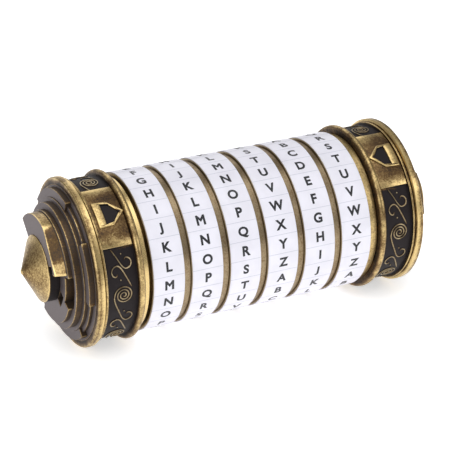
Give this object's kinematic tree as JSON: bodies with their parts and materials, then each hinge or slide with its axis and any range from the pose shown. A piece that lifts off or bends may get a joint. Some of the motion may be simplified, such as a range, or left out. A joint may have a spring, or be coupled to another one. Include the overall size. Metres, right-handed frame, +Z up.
{
  "type": "letter lock cylinder",
  "caption": "Cylinder with turning lettered dials between two round ornamented caps; set to the code, one cap draws out with the inner canister.",
  "frame": {"origin": "on the axis of the cylinder, midway between the third and fourth dial, which is the middle of the whole object", "axes": "+X along the axis towards the cap that draws out, +Z up, -Y towards the front"},
  "size_m": [0.1318, 0.05, 0.05],
  "materials": {
    "antique_brass": "cast brass with dark patina, worn bright on the edges",
    "gunmetal_brass": "dark grey-brown patina with worn brass edges",
    "dark_brass": "brown patina, satin",
    "plain_brass": "turned brass, satin",
    "steel": "plain steel",
    "label_white": "white printed film, satin",
    "ink": "black printing ink"
  },
  "bodies": {
    "tube_core": {"guide_tube": "plain_brass", "end_collar": "dark_brass", "spacer_1": "dark_brass", "spacer_2": "dark_brass", "spacer_3": "dark_brass", "spacer_4": "dark_brass", "spacer_5": "dark_brass"},
    "dial_1": {"letter_ring_1": "dark_brass", "label_1": "label_white", "code_ring_1": "plain_brass"},
    "dial_2": {"letter_ring_2": "dark_brass", "label_2": "label_white", "code_ring_2": "plain_brass"},
    "dial_3": {"letter_ring_3": "dark_brass", "label_3": "label_white", "code_ring_3": "plain_brass"},
    "dial_4": {"letter_ring_4": "dark_brass", "label_4": "label_white", "code_ring_4": "plain_brass"},
    "dial_5": {"letter_ring_5": "dark_brass", "label_5": "label_white", "code_ring_5": "plain_brass"},
    "dial_6": {"letter_ring_6": "dark_brass", "label_6": "label_white", "code_ring_6": "plain_brass"},
    "drawer": {"right_cap": "antique_brass", "right_tier_cover": "gunmetal_brass", "right_cone": "antique_brass", "right_cover_screws": "steel", "canister": "plain_brass", "canister_screws": "steel", "lock_pins": "steel"},
    "washer_carrier": {"thrust_washer": "plain_brass", "washer_clip": "steel"},
    "left_nut": {"left_cap": "antique_brass", "left_tier_cover": "gunmetal_brass", "left_cone": "antique_brass", "left_cover_screws": "steel"}
  },
  "joints": [
    {"name": "dial_1_turn", "type": "hinge", "parent": "tube_core", "child": "dial_1", "pos_m": [-0.03, 0, 0], "axis": [1, 0, 0], "continuous": true},
    {"name": "dial_2_turn", "type": "hinge", "parent": "tube_core", "child": "dial_2", "pos_m": [-0.018, 0, 0], "axis": [1, 0, 0], "continuous": true},
    {"name": "dial_3_turn", "type": "hinge", "parent": "tube_core", "child": "dial_3", "pos_m": [-0.006, 0, 0], "axis": [1, 0, 0], "continuous": true},
    {"name": "dial_4_turn", "type": "hinge", "parent": "tube_core", "child": "dial_4", "pos_m": [0.006, 0, 0], "axis": [1, 0, 0], "continuous": true},
    {"name": "dial_5_turn", "type": "hinge", "parent": "tube_core", "child": "dial_5", "pos_m": [0.018, 0, 0], "axis": [1, 0, 0], "continuous": true},
    {"name": "dial_6_turn", "type": "hinge", "parent": "tube_core", "child": "dial_6", "pos_m": [0.03, 0, 0], "axis": [1, 0, 0], "continuous": true},
    {"name": "drawer_slide", "type": "slide", "parent": "tube_core", "child": "drawer", "axis": [1, 0, 0], "range_m": [0, 0.076]},
    {"name": "left_cap_travel", "type": "slide", "parent": "tube_core", "child": "washer_carrier", "axis": [-1, 0, 0], "range_m": [0, 0.00451]},
    {"name": "left_cap_turn", "type": "hinge", "parent": "washer_carrier", "child": "left_nut", "pos_m": [-0.045, 0, 0], "axis": [-1, 0, 0], "range_deg": [0, 1080]}
  ],
  "couplings": [
    {"joint": "left_cap_travel", "follows": "left_cap_turn", "m_per_rad": 0.00023873}
  ]
}
